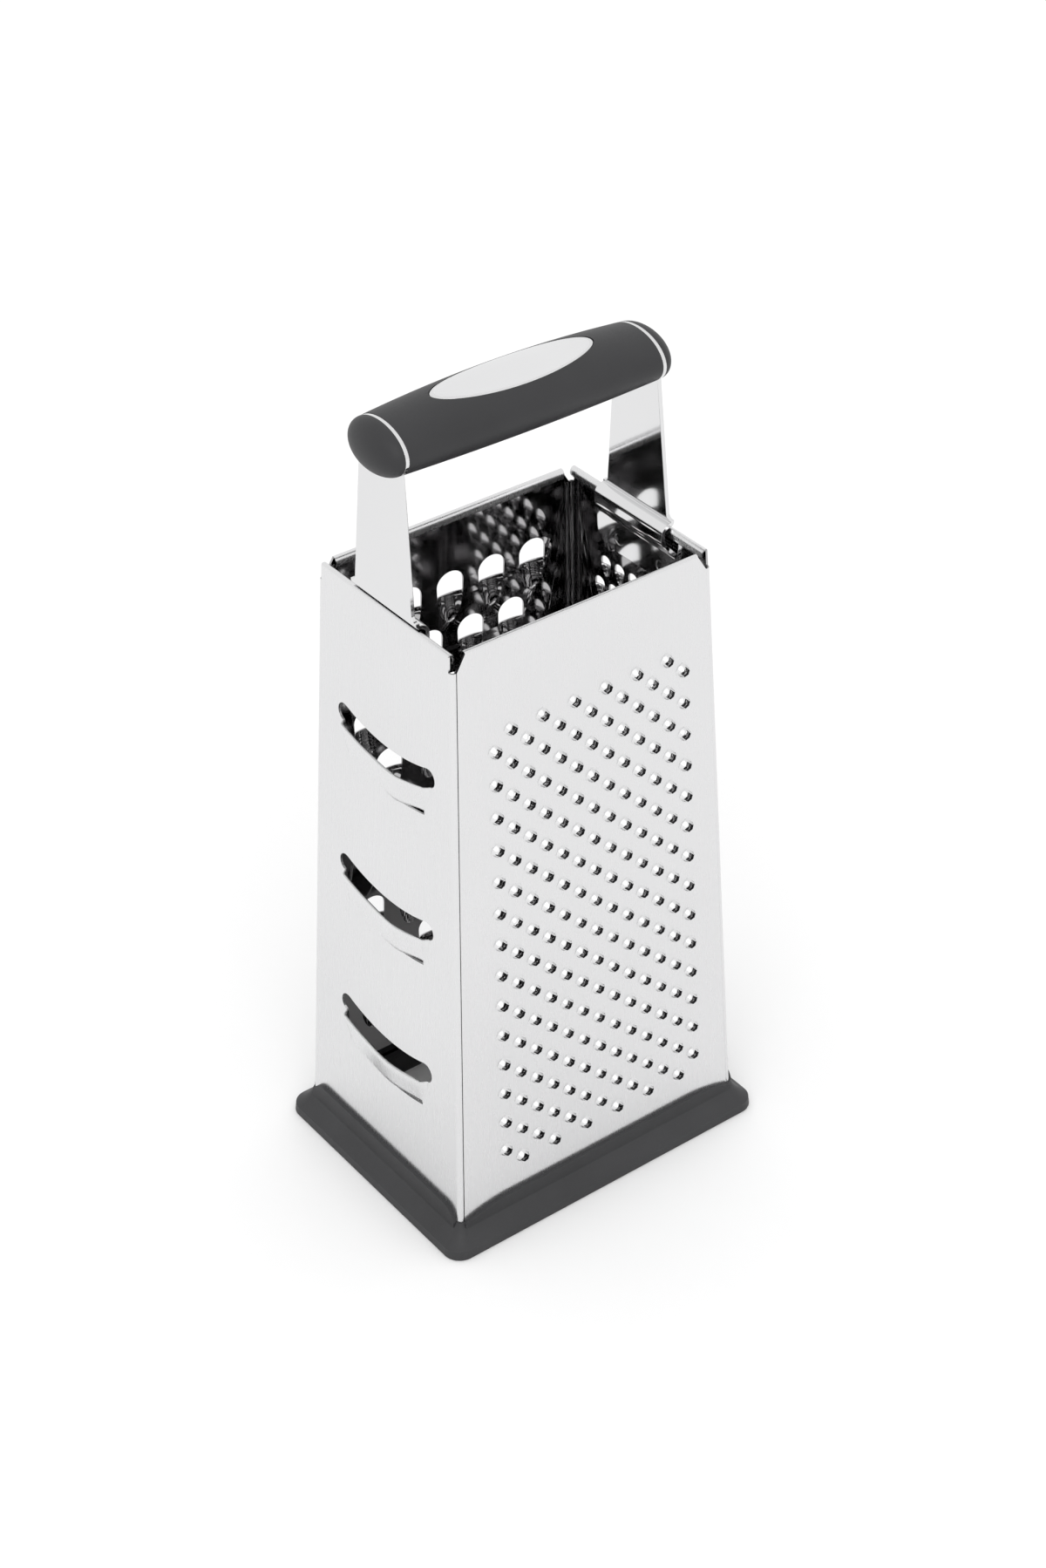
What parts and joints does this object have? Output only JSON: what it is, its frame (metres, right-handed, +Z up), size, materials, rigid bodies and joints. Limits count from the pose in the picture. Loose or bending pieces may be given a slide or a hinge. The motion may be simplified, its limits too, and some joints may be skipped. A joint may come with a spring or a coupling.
{
  "type": "box grater",
  "caption": "Four-sided box grater of punched steel sheet with a bar grip on two bent straps and a soft base ring.",
  "frame": {"origin": "middle of the base ring's underside, at table level", "axes": "+Z up; X along the grip and the two wide walls; the fine rasp wall faces -Y, the slicer wall -X"},
  "size_m": [0.1094, 0.084, 0.2441],
  "materials": {
    "steel_sheet": "bright rolled stainless sheet, polished",
    "strap_steel": "polished stainless strip",
    "inlay_steel": "satin stainless plate with a bright bevelled rim",
    "screw_steel": "plain zinc-plated screw",
    "hard_plastic": "moulded black plastic",
    "soft_cover": "fine matte soft-touch black",
    "base_rubber": "matte soft black rubber"
  },
  "bodies": {
    "root": {"fine_rasp_wall": "steel_sheet", "coarse_shred_wall": "steel_sheet", "medium_shred_wall": "steel_sheet", "slicer_wall": "steel_sheet", "left_strap": "strap_steel", "right_strap": "strap_steel", "grip_core": "hard_plastic", "grip_cover": "soft_cover", "inlay_plate": "inlay_steel", "left_end_cap": "soft_cover", "right_end_cap": "soft_cover", "end_screws": "screw_steel", "base_ring": "base_rubber"}
  },
  "joints": []
}
